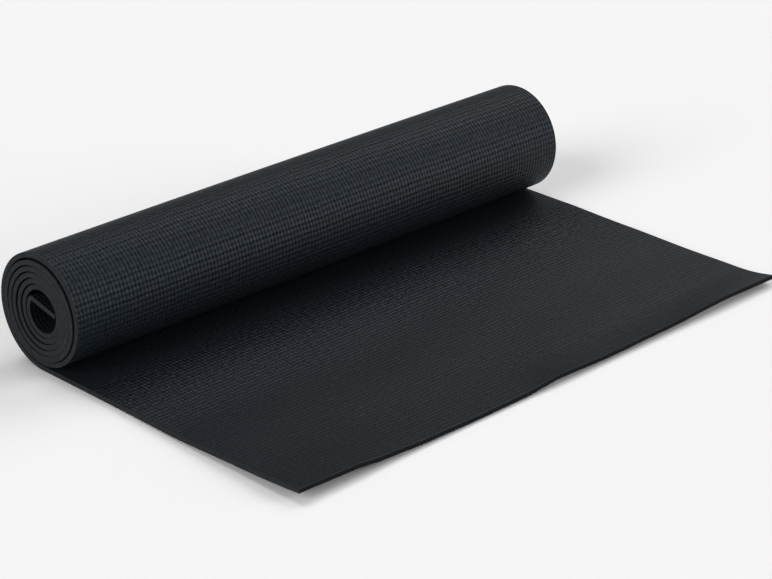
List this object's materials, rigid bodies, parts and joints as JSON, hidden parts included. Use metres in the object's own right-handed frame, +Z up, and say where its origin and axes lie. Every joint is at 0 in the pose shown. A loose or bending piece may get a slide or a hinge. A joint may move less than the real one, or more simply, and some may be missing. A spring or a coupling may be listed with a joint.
{
  "type": "exercise mat",
  "caption": "Foam exercise mat with a woven texture, flat at its free end and still rolled up at the other; it unrolls, and its free end lifts.",
  "frame": {"origin": "centre of the bottom of the whole mat as it lies, roll included", "axes": "+X from the roll to the free edge, +Y along the roll from its near end to its far end, +Z up"},
  "size_m": [0.3842, 0.61, 0.1087],
  "materials": {
    "foam": "satin charcoal foam with a fine embossed weave",
    "scrim": "matt knitted polyester"
  },
  "bodies": {
    "floor_panel": {"topside_foam_floor_panel": "foam", "scrim_floor_panel": "scrim", "underside_foam_floor_panel": "foam"},
    "end_panel_1": {"topside_foam_end_panel_1": "foam", "scrim_end_panel_1": "scrim", "underside_foam_end_panel_1": "foam"},
    "end_panel_2": {"topside_foam_end_panel_2": "foam", "scrim_end_panel_2": "scrim", "underside_foam_end_panel_2": "foam"},
    "end_panel_3": {"topside_foam_end_panel_3": "foam", "scrim_end_panel_3": "scrim", "underside_foam_end_panel_3": "foam"},
    "end_panel_4": {"topside_foam_end_panel_4": "foam", "scrim_end_panel_4": "scrim", "underside_foam_end_panel_4": "foam"},
    "turn_panel_1": {"topside_foam_turn_panel_1": "foam", "scrim_turn_panel_1": "scrim", "underside_foam_turn_panel_1": "foam"},
    "turn_panel_2": {"topside_foam_turn_panel_2": "foam", "scrim_turn_panel_2": "scrim", "underside_foam_turn_panel_2": "foam"},
    "turn_panel_3": {"topside_foam_turn_panel_3": "foam", "scrim_turn_panel_3": "scrim", "underside_foam_turn_panel_3": "foam"},
    "turn_panel_4": {"topside_foam_turn_panel_4": "foam", "scrim_turn_panel_4": "scrim", "underside_foam_turn_panel_4": "foam"},
    "turn_panel_5": {"topside_foam_turn_panel_5": "foam", "scrim_turn_panel_5": "scrim", "underside_foam_turn_panel_5": "foam"},
    "turn_panel_6": {"topside_foam_turn_panel_6": "foam", "scrim_turn_panel_6": "scrim", "underside_foam_turn_panel_6": "foam"},
    "roll_core": {"topside_foam_roll_core": "foam", "scrim_roll_core": "scrim", "underside_foam_roll_core": "foam"},
    "inner_end": {"topside_foam_inner_end": "foam", "scrim_inner_end": "scrim", "underside_foam_inner_end": "foam"}
  },
  "joints": [
    {"name": "unroll_1", "type": "hinge", "parent": "floor_panel", "child": "turn_panel_1", "pos_m": [-0.13788, 0, 0], "axis": [0, -1, 0], "range_deg": [0, 15], "stiffness_Nm_per_rad": 0.6, "springref_deg": -8.59},
    {"name": "unroll_2", "type": "hinge", "parent": "turn_panel_1", "child": "turn_panel_2", "pos_m": [-0.16548, 0, 0.00786], "axis": [0, -1, 0], "range_deg": [0, 30], "stiffness_Nm_per_rad": 0.6, "springref_deg": -8.59},
    {"name": "unroll_3", "type": "hinge", "parent": "turn_panel_2", "child": "turn_panel_3", "pos_m": [-0.18527, 0, 0.02833], "axis": [0, -1, 0], "range_deg": [0, 30], "stiffness_Nm_per_rad": 0.6, "springref_deg": -8.59},
    {"name": "unroll_4", "type": "hinge", "parent": "turn_panel_3", "child": "turn_panel_4", "pos_m": [-0.19212, 0, 0.05574], "axis": [0, -1, 0], "range_deg": [0, 30], "stiffness_Nm_per_rad": 0.6, "springref_deg": -8.59},
    {"name": "unroll_5", "type": "hinge", "parent": "turn_panel_4", "child": "turn_panel_5", "pos_m": [-0.1844, 0, 0.08269], "axis": [0, -1, 0], "range_deg": [0, 30], "stiffness_Nm_per_rad": 0.6, "springref_deg": -8.59},
    {"name": "unroll_6", "type": "hinge", "parent": "turn_panel_5", "child": "turn_panel_6", "pos_m": [-0.1644, 0, 0.10202], "axis": [0, -1, 0], "range_deg": [0, 30], "stiffness_Nm_per_rad": 0.6, "springref_deg": -8.59},
    {"name": "unroll_7", "type": "hinge", "parent": "turn_panel_6", "child": "roll_core", "pos_m": [-0.13764, 0, 0.10872], "axis": [0, -1, 0], "range_deg": [0, 15], "stiffness_Nm_per_rad": 0.6, "springref_deg": -8.59},
    {"name": "lift_1", "type": "hinge", "parent": "floor_panel", "child": "end_panel_1", "pos_m": [0.03212, 0, 0.0045], "axis": [0, -1, 0], "range_deg": [0, 40]},
    {"name": "lift_2", "type": "hinge", "parent": "end_panel_1", "child": "end_panel_2", "pos_m": [0.07212, 0, 0.0045], "axis": [0, -1, 0], "range_deg": [0, 40]},
    {"name": "lift_3", "type": "hinge", "parent": "end_panel_2", "child": "end_panel_3", "pos_m": [0.11212, 0, 0.0045], "axis": [0, -1, 0], "range_deg": [0, 40]},
    {"name": "lift_4", "type": "hinge", "parent": "end_panel_3", "child": "end_panel_4", "pos_m": [0.15212, 0, 0.0045], "axis": [0, -1, 0], "range_deg": [0, 40]},
    {"name": "inner_end_swing", "type": "hinge", "parent": "roll_core", "child": "inner_end", "pos_m": [-0.14815, 0, 0.06317], "axis": [0, 1, 0], "range_deg": [0, 30], "stiffness_Nm_per_rad": 0.3}
  ]
}
